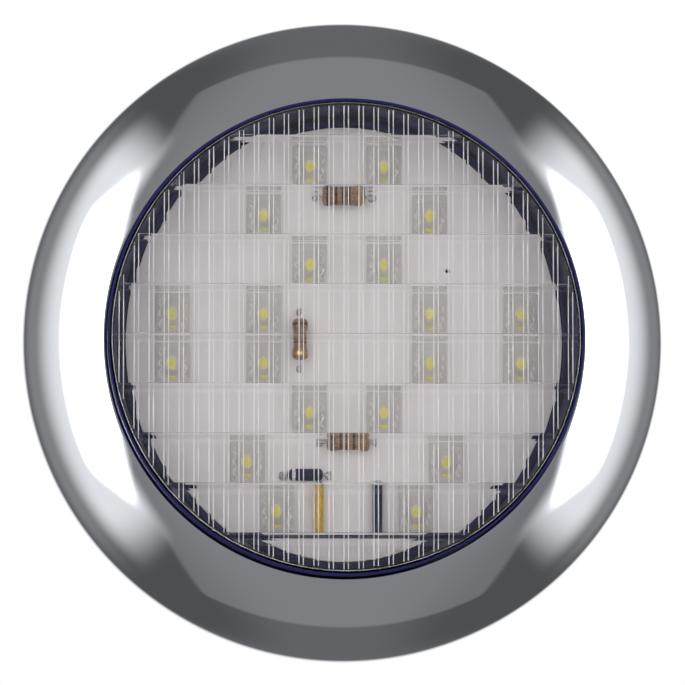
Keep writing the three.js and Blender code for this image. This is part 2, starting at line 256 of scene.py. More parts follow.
def sweep(bm, route, radius, sides, slot=0):
    """A round tube through (x, forward, z) points, smoothed, with closed ends."""
    points = smooth_route([Vector((x, -forward, z)) * MM for x, forward, z in route])
    frames = []
    side = None
    for i, point in enumerate(points):
        ahead = (points[min(i + 1, len(points) - 1)] - points[max(i - 1, 0)]).normalized()
        if side is None:
            side = ahead.orthogonal().normalized()
        side = (side - ahead * side.dot(ahead)).normalized()
        frames.append((point, side, ahead.cross(side)))
    rings = []
    for point, across, up in frames:
        around = [across * cosine + up * sine for cosine, sine in circle(sides)]
        rings.append([bm.verts.new(point + outward * radius * MM) for outward in around])
    skin(bm, rings, [slot] * (len(rings) - 1))


def smooth_route(points, per_span=6):
    """Points along a centripetal Catmull-Rom curve."""
    ends = [points[0] * 2 - points[1], *points, points[-1] * 2 - points[-2]]
    result = [points[0]]
    for a, b, c, d in zip(ends, ends[1:], ends[2:], ends[3:]):
        gaps = [max((q - p).length, AXIS) ** 0.5 for p, q in ((a, b), (b, c), (c, d))]
        leave = ((b - a) / gaps[0] - (c - a) / (gaps[0] + gaps[1]) + (c - b) / gaps[1]) * gaps[1]
        arrive = ((c - b) / gaps[1] - (d - b) / (gaps[1] + gaps[2]) + (d - c) / gaps[2]) * gaps[1]
        for k in range(1, per_span + 1):
            t = k / per_span
            start = b * (2 * t**3 - 3 * t**2 + 1) + leave * (t**3 - 2 * t**2 + t)
            result.append(start + c * (3 * t**2 - 2 * t**3) + arrive * (t**3 - t**2))
    return result


def box(bm, low, high, bevel=0.0, slot=0):
    """A box between two (x, forward, z) corners, with bevelled edges."""
    corners = []
    for x in (low[0], high[0]):
        for forward in (low[1], high[1]):
            for z in (low[2], high[2]):
                corners.append(bm.verts.new((x * MM, -forward * MM, z * MM)))
    sides = [(0, 1, 3, 2), (4, 6, 7, 5), (0, 4, 5, 1), (2, 3, 7, 6), (0, 2, 6, 4), (1, 5, 7, 3)]
    faces = [bm.faces.new([corners[i] for i in side]) for side in sides]
    for face in faces:
        face.material_index = slot
    if bevel:
        edges = list({edge for face in faces for edge in face.edges})
        bmesh.ops.bevel(bm, geom=edges, offset=bevel * MM, segments=3, profile=0.5, affect="EDGES")


# ---- material helpers ----

NOISE_ROUGHNESS = 0.55
NOISE_LOW = 0.3
NOISE_HIGH = 0.7
INSULATION_GRAIN = (1, 1, 0.15)
WHITE = (1, 1, 1, 1)


class Finish:
    """A Principled material, detailed by textures in object coordinates: each is chosen, then used."""

    def __init__(self, name, color, roughness, metallic=0.0, **sockets):
        self.name = name
        self.material = bpy.data.materials.new(name)
        self.material.use_nodes = True
        self.nodes = self.material.node_tree.nodes
        self.links = self.material.node_tree.links
        self.shader = self.nodes["Principled BSDF"]
        self.shader.inputs["Base Color"].default_value = (*color, 1)
        self.shader.inputs["Roughness"].default_value = roughness
        self.shader.inputs["Metallic"].default_value = metallic
        for socket, value in sockets.items():
            self.shader.inputs[socket.replace("_", " ")].default_value = value
        self.place = self.nodes.new("ShaderNodeTexCoord").outputs["Object"]
        self.texture = None

    def noise(self, scale, detail=4.0, stretch=None):
        """Choose noise whose grain is about 1/scale metres."""
        texture = self.nodes.new("ShaderNodeTexNoise")
        texture.inputs["Scale"].default_value = scale
        texture.inputs["Detail"].default_value = detail
        texture.inputs["Roughness"].default_value = NOISE_ROUGHNESS
        place = self.place
        if stretch:
            mapping = self.nodes.new("ShaderNodeMapping")
            mapping.inputs["Scale"].default_value = stretch
            self.links.new(place, mapping.inputs["Vector"])
            place = mapping.outputs["Vector"]
        self.links.new(place, texture.inputs["Vector"])
        self.texture = texture.outputs["Fac"]
        return self

    def cells(self, scale):
        """Choose the distance from the middle of the nearest cell, for cells about 1/scale metres wide."""
        texture = self.nodes.new("ShaderNodeTexVoronoi")
        texture.inputs["Scale"].default_value = scale
        self.links.new(self.place, texture.inputs["Vector"])
        self.texture = texture.outputs["Distance"]
        return self

    def spread(self, low, high):
        """Vary the roughness with the texture, between low and high."""
        span = self.nodes.new("ShaderNodeMapRange")
        span.inputs["From Min"].default_value = NOISE_LOW
        span.inputs["From Max"].default_value = NOISE_HIGH
        span.inputs["To Min"].default_value = low
        span.inputs["To Max"].default_value = high
        self.links.new(self.texture, span.inputs["Value"])
        self.links.new(span.outputs["Result"], self.shader.inputs["Roughness"])
        return self

    def tint(self, *stops):
        """Colour from the texture through (position, colour) stops."""
        ramp = self.nodes.new("ShaderNodeValToRGB")
        while len(ramp.color_ramp.elements) < len(stops):
            ramp.color_ramp.elements.new(0.5)
        for element, (position, color) in zip(ramp.color_ramp.elements, stops):
            element.position = position
            element.color = (*color, 1)
        self.links.new(self.texture, ramp.inputs["Fac"])
        self.links.new(ramp.outputs["Color"], self.shader.inputs["Base Color"])
        return self

    def bump(self, strength, depth):
        """Raise the surface by the texture, depth in millimetres, on top of any bump it already has."""
        node = self.nodes.new("ShaderNodeBump")
        node.inputs["Strength"].default_value = strength
        node.inputs["Distance"].default_value = depth * MM
        self.links.new(self.texture, node.inputs["Height"])
        previous = self.shader.inputs["Normal"]
        if previous.is_linked:
            self.links.new(previous.links[0].from_socket, node.inputs["Normal"])
        self.links.new(node.outputs["Normal"], previous)
        return self


# ---- materials ----

FINISHES = [
    Finish("chrome_plate", (0.83, 0.85, 0.9), 0.05, 1.0)
    .noise(90, 6).spread(0.035, 0.085)
    .noise(35, 2).bump(0.02, 0.3),

    Finish("clear_polycarbonate", (0.98, 0.975, 0.98), 0.02, IOR=1.52, Transmission_Weight=1.0)
    .noise(140, 6).spread(0.01, 0.035)
    .noise(25, 2).bump(0.02, 0.2),

    # The sides of the lens's ribs, frosted white as a painted highlight: on the clear lens these lines are
    # highlights at the rib edges.
    Finish("rib_side_painted_highlight", (0.99, 0.985, 0.98), 0.38, 0.14, IOR=1.5, Transmission_Weight=0.35)
    .noise(400).spread(0.34, 0.42),

    Finish("navy_plastic", (0.004, 0.005, 0.07), 0.45, Specular_IOR_Level=0.2)
    .noise(120).tint((NOISE_LOW, (0.003, 0.004, 0.06)), (NOISE_HIGH, (0.006, 0.007, 0.085)))
    .noise(260).spread(0.4, 0.6)
    .cells(2600).bump(0.25, 0.05),

    Finish("closed_cell_foam", (0.03, 0.03, 0.033), 0.95)
    .cells(1300).tint((0.1, (0.012, 0.012, 0.013)), (0.6, (0.05, 0.05, 0.054)))
    .cells(1300).bump(0.6, 0.2)
    .noise(60).bump(0.3, 0.3),

    Finish("black_rubber", (0.018, 0.018, 0.02), 0.6)
    .noise(180).tint((NOISE_LOW, (0.012, 0.012, 0.013)), (0.75, (0.032, 0.032, 0.034)))
    .noise(90).spread(0.5, 0.75)
    .noise(900).bump(0.2, 0.05),

    Finish("dark_silicone", (0.006, 0.008, 0.055), 0.5, Specular_IOR_Level=0.25)
    .noise(200).spread(0.42, 0.62)
    .noise(500).bump(0.15, 0.05),

    Finish("white_solder_mask", (0.88, 0.84, 0.835), 0.38)
    .noise(70).tint((NOISE_LOW, (0.86, 0.815, 0.81)), (NOISE_HIGH, (0.9, 0.865, 0.86)))
    .noise(300).spread(0.3, 0.46)
    .noise(900).bump(0.15, 0.03),

    Finish("led_epoxy", (1.0, 0.985, 0.97), 0.05, IOR=1.05, Transmission_Weight=0.78)
    .noise(700).spread(0.03, 0.09)
    .noise(350, 2).bump(0.03, 0.1),

    Finish("yellow_phosphor", (0.98, 0.93, 0.06), 0.6)
    .noise(2500).tint((NOISE_LOW, (0.94, 0.88, 0.03)), (NOISE_HIGH, (1.0, 0.98, 0.12))),

    Finish("lead_frame", (0.86, 0.83, 0.82), 0.28, 0.3)
    .noise(900).spread(0.2, 0.42)
    .noise(1800).bump(0.2, 0.03),

    Finish("tinned_solder", (0.62, 0.62, 0.63), 0.25, 1.0)
    .noise(1200).spread(0.18, 0.4)
    .noise(900).bump(0.25, 0.06),

    Finish("resistor_lacquer", (0.3, 0.19, 0.11), 0.3)
    .noise(2200).tint((0.32, (0.17, 0.09, 0.05)), (0.68, (0.5, 0.3, 0.18)))
    .noise(1200).bump(0.2, 0.05),

    Finish("resistor_dark_band", (0.05, 0.025, 0.018), 0.32)
    .noise(1200).bump(0.2, 0.05),

    Finish("resistor_gold_band", (0.5, 0.33, 0.1), 0.3, 0.6)
    .noise(1200).bump(0.2, 0.05),

    Finish("diode_epoxy", (0.005, 0.008, 0.055), 0.4, Specular_IOR_Level=0.3)
    .noise(700).spread(0.33, 0.5)
    .noise(1500).bump(0.2, 0.04),

    Finish("yellow_insulation", (0.66, 0.42, 0.015), 0.42)
    .noise(400).tint((NOISE_LOW, (0.58, 0.35, 0.01)), (NOISE_HIGH, (0.74, 0.5, 0.02)))
    .noise(700, stretch=INSULATION_GRAIN).bump(0.15, 0.04),

    Finish("black_insulation", (0.005, 0.008, 0.055), 0.45, Specular_IOR_Level=0.3)
    .noise(700, stretch=INSULATION_GRAIN).bump(0.15, 0.04),

    Finish("stainless_steel", (0.6, 0.6, 0.61), 0.25, 1.0)
    .noise(500).spread(0.18, 0.36)
    .noise(1500).bump(0.12, 0.02),

    # Pale paper that also shines a little, so that it stays pale under this studio's uneven light.
    Finish("floor_paper", (0.86, 0.86, 0.86), 0.8, Emission_Strength=0.4, Emission_Color=WHITE)
    .noise(300).bump(0.05, 0.2),
]
finishes = {finish.name: finish.material for finish in FINISHES}


def place(piece, body, slot_name, *nodes):
    """Ride a piece on its body and let it stand for its CAD nodes; slot_name is not used."""
    if nodes:
        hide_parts(*nodes)
    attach(piece, body)


def place_copy(name, mesh, slot_name, node, turned=0.0):
    """A copy of a shared mesh over its CAD node's centre, turned about Y."""
    at = node_centre(node)
    piece = add_object(name, mesh)
    piece.location = (at.x * MM, 0, at.z * MM)
    piece.rotation_euler.y = turned
    place(piece, "lamp", slot_name, node)


# ---- trim ring ----

RING_WALL = 2.0
RING_STEPS = 56
RING_SLOPE = math.radians(8)
RING_SLOPE_REACH = 7.0
RING_SHOULDER = 0.7
RIM_LAND = 0.6
RIM_EDGE = 0.35
LIP_EDGE = 0.35
LIP_DEPTH = 4.2
LIP_FLAT = 1.6
LIP_TAPER = 0.8
SKIN_OVERLAP = 0.1
RING_SHARP_DEGREES = 50


def bezier(a, b, c, d, steps):
    points = []
    for i in range(steps + 1):
        t = i / steps
        s = 1 - t
        points.append(a * s**3 + b * 3 * s * s * t + c * 3 * s * t * t + d * t**3)
    return points


def ring_dome():
    """The outside of the ring, from its lip to its rim."""
    start = Vector((LIP_R + LIP_EDGE, RING_LIP))
    leave = start + Vector((RING_SLOPE_REACH, -RING_SLOPE_REACH * math.tan(RING_SLOPE)))
    arrive = Vector((RING_R, RING_LIP * RING_SHOULDER))
    return bezier(start, leave, arrive, Vector((RING_R, RING_RIM + RIM_LAND)), RING_STEPS)


def inner_skin(outside):
    """The dome's inside, one wall thickness in from it, as far as the lip's own wall."""
    inside = []
    for i, point in enumerate(outside):
        ahead = outside[min(i + 1, len(outside) - 1)] - outside[max(i - 1, 0)]
        along = ahead.normalized()
        inside.append(point + Vector((along.y, -along.x)) * RING_WALL)
    return [point for point in inside if point.x > LIP_R + RING_WALL + SKIN_OVERLAP]


def ring_outline():
    """The rolled lip, the dome, the rim's corner, the inner skin and the inside of the lip's wall."""
    dome = ring_dome()
    lip_bottom = RING_LIP - LIP_DEPTH
    lip = arc((LIP_R + LIP_EDGE, RING_LIP - LIP_EDGE), LIP_EDGE, 180, 96, 8)
    rim_corner = arc((RING_R - RIM_EDGE, RING_RIM + RIM_EDGE), RIM_EDGE, 0, -90, 4)
    outline = [(LIP_R, lip_bottom), (LIP_R, RING_LIP - LIP_FLAT), *lip]
    outline += [tuple(point) for point in dome] + rim_corner
    outline += [(RING_R - RING_WALL, RING_RIM)] + [tuple(point) for point in reversed(inner_skin(dome))]
    outline += [(LIP_R + RING_WALL, RING_LIP - RING_WALL), (LIP_R + RING_WALL * LIP_TAPER, lip_bottom)]
    return outline


def make_trim_ring():
    mesh = lathe("chrome_trim_ring", ring_outline(), FINE_ROUND, sharp_degrees=RING_SHARP_DEGREES)
    ring = add_object("chrome_trim_ring", mesh, "chrome_plate")
    place(ring, "trim", "chrome_plate", "trim_ring")


# ---- lens ----

LENS_WALL = 1.7
LENS_FRONT_WALL = 0.35
LENS_FOOT_THICKNESS = 2
LENS_FACE_THICKNESS = 2.4
LENS_EDGE = 0.2
LENS_SHARP_DEGREES = 7
CAVITY_EDGE = 0.25
CAVITY_EASE = 0.1
OPTIC_DEPTH = 0.5
CUT_PAST = 1

BANDS_EACH_WAY = 5
STEP_HEIGHT = 0.75
STEP_SHARE = 0.16
STEP_DRAFT = 0.006
STEP_FOOT = 0.3
STEP_OUTLINE = [(0.75, 0.9), (0.3, 0.42)]
BAND_CROWN = 0.3
BAND_STEPS = 10
LOWEST_BAND_GAIN = 1.5

FLUTES_EACH_WAY = 16
RIB_HEIGHT = 0.045
RIB_DIP = 0.024
RIB_TOP = 0.74
RIB_SIDE = 0.22

CLEAR_SLOT, RIB_HIGHLIGHT_SLOT, WALL_SLOT = range(3)
RIB_SIDE_TILT = 0.14
WALL_TILT = 0.2
EDGE_MARGIN = 0.3


def rib_profile():
    """Offsets across one flute: a flat field, then a low rib with sloping sides and a shallow V on top."""
    half = RIB_TOP / 2
    field = [(-FLUTE / 2, 0.0), (-half - RIB_SIDE, 0.0)]
    rib = [(-half, RIB_HEIGHT), (0, RIB_HEIGHT - RIB_DIP), (half, RIB_HEIGHT), (half + RIB_SIDE, 0.0)]
    return field + rib


def band_profile():
    """Heights up one band, from its bottom: a long crowned slope, then a short steep step."""
    points = []
    for i in range(BAND_STEPS + 1):
        t = i / BAND_STEPS
        points.append((t * (1 - STEP_SHARE), STEP_HEIGHT * t + BAND_CROWN * 4 * t * (1 - t)))
    points += [(1 - STEP_SHARE * left, STEP_HEIGHT * height) for left, height in STEP_OUTLINE]
    points.append((1 - STEP_DRAFT, STEP_HEIGHT * STEP_FOOT))
    return points


def optic_columns():
    """The block's (x, rise) positions across all the flutes."""
    columns = []
    for n in range(-FLUTES_EACH_WAY, FLUTES_EACH_WAY + 1):
        columns += [(n * FLUTE + x, rise) for x, rise in rib_profile()]
    columns.append(((FLUTES_EACH_WAY + 0.5) * FLUTE, 0.0))
    return columns


def optic_rows():
    """The block's (z, rise) positions up all the bands; the lowest band is steeper than the others."""
    rows = []
    for n in range(-BANDS_EACH_WAY, BANDS_EACH_WAY):
        gain = LOWEST_BAND_GAIN if n == -BANDS_EACH_WAY else 1.0
        rows += [(LAYOUT_Z + (n + share) * BAND, rise * gain) for share, rise in band_profile()]
    rows.append((LAYOUT_Z + BANDS_EACH_WAY * BAND, 0.0))
    return rows


def optic_block():
    """A block whose front face is the inside of the lens: ribs across, stepped bands down."""
    back = LENS_FACE - LENS_FACE_THICKNESS
    rows = optic_rows()
    bm = bmesh.new()
    front = []
    for x, rise in optic_columns():
        front.append([bm.verts.new((x * MM, -(back - rise - step) * MM, z * MM)) for z, step in rows])
    for left, right in zip(front, front[1:]):
        for k in range(len(rows) - 1):
            bm.faces.new([left[k], right[k], right[k + 1], left[k + 1]])
    close_block(bm, front, LENS_FOOT - 3 * CUT_PAST)
    return finish_mesh(bm, "optic_block")


def close_block(bm, grid, floor):
    """Close a grid of front points into a block with a flat back at that forward distance."""
    border = [column[0] for column in grid] + grid[-1][1:]
    border += [column[-1] for column in reversed(grid[:-1])] + list(reversed(grid[0][1:-1]))
    back = [bm.verts.new((v.co.x, -floor * MM, v.co.z)) for v in border]
    for i in range(len(border)):
        j = (i + 1) % len(border)
        bm.faces.new([border[i], border[j], back[j], back[i]])
    bm.faces.new(back)


def lens_blank():
    """The lens before it is hollowed: a plug with a foot and a slightly eased front edge."""
    foot_top = LENS_FOOT + LENS_FOOT_THICKNESS
    outline = [(0, LENS_FOOT), (LENS_FOOT_R, LENS_FOOT), (LENS_FOOT_R, foot_top), (LENS_R, foot_top)]
    outline += arc((LENS_FRONT_R - LENS_EDGE, LENS_FACE - LENS_EDGE), LENS_EDGE, 0, 90, 6)
    outline.append((0, LENS_FACE))
    return lathe("fluted_lens", outline, FINE_ROUND)


def lens_hollow():
    """The space inside the lens, its front end shaped by the ribs and bands."""
    back_inner = LENS_R - LENS_WALL + CAVITY_EASE
    front_inner = LENS_FRONT_R - LENS_FRONT_WALL
    back = LENS_FOOT - 2 * CUT_PAST
    top = LENS_FACE - LENS_FACE_THICKNESS + OPTIC_DEPTH
    outline = [
        (0, back), (back_inner, back), (back_inner, TUB_TOP + CUT_PAST), (front_inner, top - CAVITY_EDGE),
        (front_inner - CAVITY_EDGE, top), (0, top),
    ]
    hollow = add_object("hollow", lathe("hollow", outline, FINE_ROUND))
    cut(hollow, optic_block(), operation="INTERSECT")
    mesh = hollow.data.copy()
    bpy.data.objects.remove(hollow)
    return mesh


def is_inner_wall(face):
    """True on the steep inside wall of the cup, which is painted dark."""
    across, back, up = face.center / MM
    facing_in = face.normal.x * across + face.normal.z * up < 0
    steep = abs(face.normal.y) < WALL_TILT
    far_out = math.hypot(across, up) > LENS_R - LENS_WALL - EDGE_MARGIN
    return facing_in and steep and far_out and -back > LENS_FOOT


def is_rib_side(face):
    """True on the sloping sides of the ribs, which take a frosted white finish as a painted highlight."""
    across, back, up = face.center / MM
    from_rib = abs((across + FLUTE / 2) % FLUTE - FLUTE / 2)
    on_side = RIB_TOP / 2 < from_rib < RIB_TOP / 2 + RIB_SIDE and abs(face.normal.x) > RIB_SIDE_TILT
    reach = LENS_FRONT_R - LENS_FRONT_WALL - EDGE_MARGIN
    return on_side and -back < LENS_FACE - OPTIC_DEPTH and math.hypot(across, up) < reach


def make_lens():
    lens = add_object("fluted_lens", lens_blank())
    cut(lens, lens_hollow(), sharp_degrees=LENS_SHARP_DEGREES)
    paint(lens.data, "clear_polycarbonate", "rib_side_painted_highlight", "navy_plastic")
    for face in lens.data.polygons:
        if is_inner_wall(face):
            face.material_index = WALL_SLOT
        elif is_rib_side(face):
            # Rib sides take the frosted white finish, a painted highlight for the bright lines along the
            # ribs.
            face.material_index = RIB_HIGHLIGHT_SLOT
        else:
            face.material_index = CLEAR_SLOT
    place(lens, "lamp", "clear_polycarbonate", "lens")


# ---- housing, gasket, seal, sleeve and inlet ----

TUB_WALL = 1.0
SHELF_WIDTH = 2.3
GROOVE_GAP = 0.5
GROOVE_FLOOR = 3.9
FLANGE_CHAMFER = 1
BOSS_CHAMFER = 0.4
BOSS_BORE_R = 7
PAD_R = 5.8
PAD_DRAFT = 0.3
PAD_HEIGHT = 1
SCREW_HOLE_R = 2.4
SEAL_WIDTH = 3.2
SLEEVE_GAP = 0.15
SLEEVE_LIP_GAP = 0.2
SLEEVE_SHOULDER = 0.7
SLEEVE_BEVEL = 0.2
GROMMET_BORE_R = 3.2
GROMMET_PLUG_R = 6.7
GROMMET_COLLAR = 1.4
GROMMET_TAPER = 2.2


def screw_places():
    """The (x, z) centres of the three screws."""
    return [(node_centre(screw).x, node_centre(screw).z) for screw in SCREWS]


def base_outline():
    """The base plate with its rim, the groove for the lens's foot, and the tub that holds the board."""
    inner = BOARD_R + TOUCH_GAP
    outer = inner + TUB_WALL
    shelf = inner - SHELF_WIDTH
    groove = LENS_FOOT_R + GROOVE_GAP
    seat = BOARD_BACK - TOUCH_GAP
    return [
        (0, FLANGE_BACK), (FLANGE_R, FLANGE_BACK), (FLANGE_R, FLANGE_FRONT - FLANGE_CHAMFER),
        (FLANGE_R - FLANGE_CHAMFER, FLANGE_FRONT), (groove, FLANGE_FRONT), (groove, GROOVE_FLOOR),
        (outer, GROOVE_FLOOR), (outer, TUB_TOP), (inner, TUB_TOP), (inner, seat), (shelf, seat),
        (shelf, FLANGE_FRONT), (0, FLANGE_FRONT),
    ]


def boss_mesh():
    top = FLANGE_BACK + CUT_PAST
    outline = [(0, BOSS_END), (BOSS_R - BOSS_CHAMFER, BOSS_END), (BOSS_R, BOSS_END + BOSS_CHAMFER),
               (BOSS_R, top), (0, top)]
    return lathe("boss", outline, 96, (INLET.x, INLET.z))


def screw_pad_mesh(centre):
    bottom = FLANGE_BACK + CUT_PAST
    top = FLANGE_FRONT + PAD_HEIGHT
    outline = [(0, bottom), (PAD_R, bottom), (PAD_R - PAD_DRAFT, top), (0, top)]
    return lathe("pad", rounded(outline, 0.3), 64, centre)


def make_housing():
    housing = add_object("lamp_base", lathe("lamp_base", rounded(base_outline(), 0.25, 3)))
    cut(housing, boss_mesh(), operation="UNION")
    for x, z in screw_places():
        cut(housing, screw_pad_mesh((x, z)), operation="UNION")
        cut(housing, rod_mesh("hole", SCREW_HOLE_R, 0, FLANGE_FRONT + 2 * CUT_PAST, x, z))
    bore_from = BOSS_END - CUT_PAST
    bore_to = FLANGE_FRONT + CUT_PAST
    cut(housing, rod_mesh("bore", BOSS_BORE_R, bore_from, bore_to, INLET.x, INLET.z, 96))
    paint(housing.data, "navy_plastic")
    place(housing, "lamp", "navy_plastic", "lamp_housing")


def make_gasket():
    outline = [(0, 0), (GASKET_R, 0), (GASKET_R, GASKET_THICKNESS), (0, GASKET_THICKNESS)]
    gasket = add_object("gasket_pad", lathe("gasket_pad", rounded(outline, 0.35)))
    top = GASKET_THICKNESS + CUT_PAST
    cut(gasket, rod_mesh("boss_hole", BOSS_R + TOUCH_GAP, -CUT_PAST, top, INLET.x, INLET.z, 96))
    for x, z in screw_places():
        cut(gasket, rod_mesh("hole", SCREW_HOLE_R, -CUT_PAST, top, x, z))
    paint(gasket.data, "closed_cell_foam")
    place(gasket, "lamp", "foam", "foam_gasket")


def make_seal():
    low, high = -seal_high.y, -seal_low.y
    outer = seal_high.x
    inner = outer - SEAL_WIDTH
    outline = rounded([(inner, low), (outer, low), (outer, high), (inner, high)], 0.4, 5)
    seal = add_object("seal_ring", lathe("seal_ring", outline), "dark_silicone")
    place(seal, "lamp", "silicone", "lens_seal")


def make_sleeve():
    """The dark band round the lens's side wall, thicker where it fills the gap inside the ring's lip."""
    inner = LENS_R + SLEEVE_GAP
    outer = sleeve_high.x
    thick = LIP_R - SLEEVE_LIP_GAP
    bottom, top = -sleeve_high.y, -sleeve_low.y
    shoulder = RING_LIP - SLEEVE_SHOULDER
    outline = rounded([
        (inner, bottom), (thick, bottom), (thick, shoulder), (outer, shoulder + SLEEVE_BEVEL), (outer, top),
        (inner, top),
    ], 0.15)
    sleeve = add_object("lens_surround", lathe("lens_surround", outline, FINE_ROUND), "navy_plastic")
    place(sleeve, "lamp", "navy_plastic", "lens_sleeve")


def make_grommet():
    collar = BOSS_END - TOUCH_GAP
    outline = rounded([
        (GROMMET_BORE_R, GROMMET_TOP), (GROMMET_PLUG_R, GROMMET_TOP), (GROMMET_PLUG_R, collar),
        (GROMMET_R, collar), (GROMMET_R, collar - GROMMET_COLLAR),
        (GROMMET_BORE_R + GROMMET_TAPER, GROMMET_END), (GROMMET_BORE_R, GROMMET_END),
    ], 0.5, 5)
    mesh = lathe("inlet_grommet", outline, 96, (INLET.x, INLET.z))
    grommet = add_object("inlet_grommet", mesh, "black_rubber")
    place(grommet, "lamp", "black_rubber", "cable_grommet")


# ---- board ----

LEAD_R = 1.1
YELLOW_LEAD_X = -5.7
BLACK_LEAD_X = 7.3
LEAD_HOLE_Z = -42.5
LEAD_HOLE_R = 1.6
LEAD_START_Z = -33.2
VIA_R = 0.35
VIAS = [(22.7, 16.2), (22.7, 13.7)]


def make_board():
    outline = [(0, BOARD_BACK), (BOARD_R, BOARD_BACK), (BOARD_R, BOARD_FRONT), (0, BOARD_FRONT)]
    board = add_object("led_board", lathe("led_board", rounded(outline, 0.12, 2)))
    below = BOARD_BACK - CUT_PAST
    above = BOARD_FRONT + CUT_PAST
    for x in (YELLOW_LEAD_X, BLACK_LEAD_X):
        cut(board, rod_mesh("hole", LEAD_HOLE_R, below, above, x, LEAD_HOLE_Z, 32))
    for x, z in VIAS:
        cut(board, rod_mesh("via", VIA_R, below, above, x, z, 16))
    paint(board.data, "white_solder_mask")
    place(board, "lamp", "white_board", "circuit_board")


# ---- LEDs ----

LED_SIDE = 7.6
LED_BOTTOM = BOARD_FRONT + TOUCH_GAP
LED_TOP = LED_BOTTOM + 2.6
LED_BEVEL = 0.35
DOME_R = 2.6
DOME_CENTRE = LED_TOP + 1.2
DOME_ROOT = LED_TOP - 0.8
LEG_X = 2.7
LEG_R = 0.24
LEG_FORWARD = LED_BOTTOM + 0.9
LEG_CRIMP = 0.35
LEG_CRIMPS = 6
LEG_PITCH = 0.95
LEG_START = -2.9
FOOT_SPACING = 2.54
FOOT_HALF = 0.3
FOOT_SUNK = 0.2
FOOT_TOP = LED_BOTTOM + 0.65
FRAME_SLOT, PHOSPHOR_SLOT = 1, 2


def led_body_mesh():
    """The clear square body with its dome."""
    half = LED_SIDE / 2
    bm = bmesh.new()
    box(bm, (-half, LED_BOTTOM, -half), (half, LED_TOP, half), LED_BEVEL)
    body = add_object("led_body", finish_mesh(bm, "led_body"))
    curve = arc((0, DOME_CENTRE), DOME_R, 0, 90, 12)
    dome = [(0, DOME_ROOT), (DOME_R, DOME_ROOT), *curve[:-1], (0, curve[-1][1])]
    cut(body, lathe("dome", dome, 48), operation="UNION")
    mesh = body.data
    bpy.data.objects.remove(body)
    return mesh


def add_legs(bm):
    """Two crimped legs inside the body, each with a foot at either end."""
    for side in (-1, 1):
        x = side * LEG_X
        crimped = []
        for n in range(LEG_CRIMPS):
            crimped.append((x + LEG_CRIMP * (-1) ** n, LEG_FORWARD, n * LEG_PITCH + LEG_START))
        sweep(bm, crimped, LEG_R, 10, FRAME_SLOT)
        for end in (-1, 1):
            z = end * FOOT_SPACING
            low = (x - FOOT_HALF, BOARD_FRONT - FOOT_SUNK, z - FOOT_HALF)
            box(bm, low, (x + FOOT_HALF, FOOT_TOP, z + FOOT_HALF), 0.06, FRAME_SLOT)


def add_phosphor(bm, seat, z, half_width, half_height):
    """An oval drop of phosphor on its seat."""
    before = set(bm.verts)
    drop = [(0, seat), (0.84, seat), (1.0, seat + 0.2), (0.6, seat + 0.42), (0, seat + 0.5)]
    turn(bm, drop, 32, slot=PHOSPHOR_SLOT)
    for vert in set(bm.verts) - before:
        vert.co.x *= half_width
        vert.co.z = vert.co.z * half_height + z * MM


def led_mesh():
    """One LED about its own centre: clear body and dome, lead frame, cup and phosphor."""
    bm = bmesh.new()
    bm.from_mesh(led_body_mesh())
    add_legs(bm)
    floor, cup_rim, cup_seat = LED_BOTTOM + 0.6, LED_BOTTOM + 1.6, LED_BOTTOM + 1.0
    cup = [(0, floor), (0.75, floor), (1.05, cup_rim), (0.95, cup_rim), (0.65, cup_seat), (0, cup_seat)]
    turn(bm, cup, 32, slot=FRAME_SLOT)
    add_phosphor(bm, LED_BOTTOM + 1.05, 0, 0.85, 1.2)
    add_phosphor(bm, LED_BOTTOM + 0.9, -2.35, 0.8, 0.6)
    mesh = finish_mesh(bm, "led")
    paint(mesh, "led_epoxy", "lead_frame", "yellow_phosphor")
    return mesh


def make_leds():
    mesh = led_mesh()
    for node in LEDS:
        place_copy(f"white_{node}", mesh, "led_epoxy", node)


# ---- resistors and diode ----

RESISTOR = {"name": "resistor", "length": 9.6, "radius": 1.45, "bulge": 0.25}
DIODE = {"name": "diode", "length": 7.6, "radius": 1.1, "bulge": 0.0}
RESISTOR_BANDS = [(0.1, 0.15), (0.3, 0.35), (0.45, 0.5), (0.6, 0.65), (0.84, 0.89)]
RESISTOR_COLORS = ["resistor_dark_band"] * 4 + ["resistor_gold_band"]
DIODE_BANDS = [(0.1, 0.2)]
AXIAL_SIDES = 24
AXIAL_STATIONS = 60
AXIAL_STANDOFF = 0.7
CAP_FROM, CAP_TO = 0.16, 0.26
END_ROUNDING = 0.8
END_CLOSED = 0.06
WIRE_R = 0.3
WIRE_REACH = 1.3


def axial_radius(from_end, length, radius, bulge):
    """The body's radius at a distance from its nearer end: a wider cap, with its end rounded off."""
    cap = bulge * (1 - smooth_step(length * CAP_FROM, length * CAP_TO, from_end))
    rounding = math.sqrt(max(0.0, 1 - (1 - min(from_end / END_ROUNDING, 1)) ** 2))
    return (radius + cap) * (rounding * (1 - END_CLOSED) + END_CLOSED)


def add_axial_body(bm, axis, length, radius, bulge, bands):
    """The body along X, with colour bands as (start, end) shares of its length."""
    stations = [i / AXIAL_STATIONS for i in range(AXIAL_STATIONS + 1)]
    rings = []
    for share in stations:
        r = axial_radius(min(share, 1 - share) * length, length, radius, bulge)
        x = (share - 0.5) * length
        around = [(x * MM, -(axis + r * cosine) * MM, r * sine * MM) for cosine, sine in circle(AXIAL_SIDES)]
        rings.append([bm.verts.new(point) for point in around])
    slots = []
    for share, after in zip(stations, stations[1:]):
        middle = (share + after) / 2
        slots.append(next((n + 1 for n, (start, end) in enumerate(bands) if start < middle < end), 0))
    skin(bm, rings, slots)


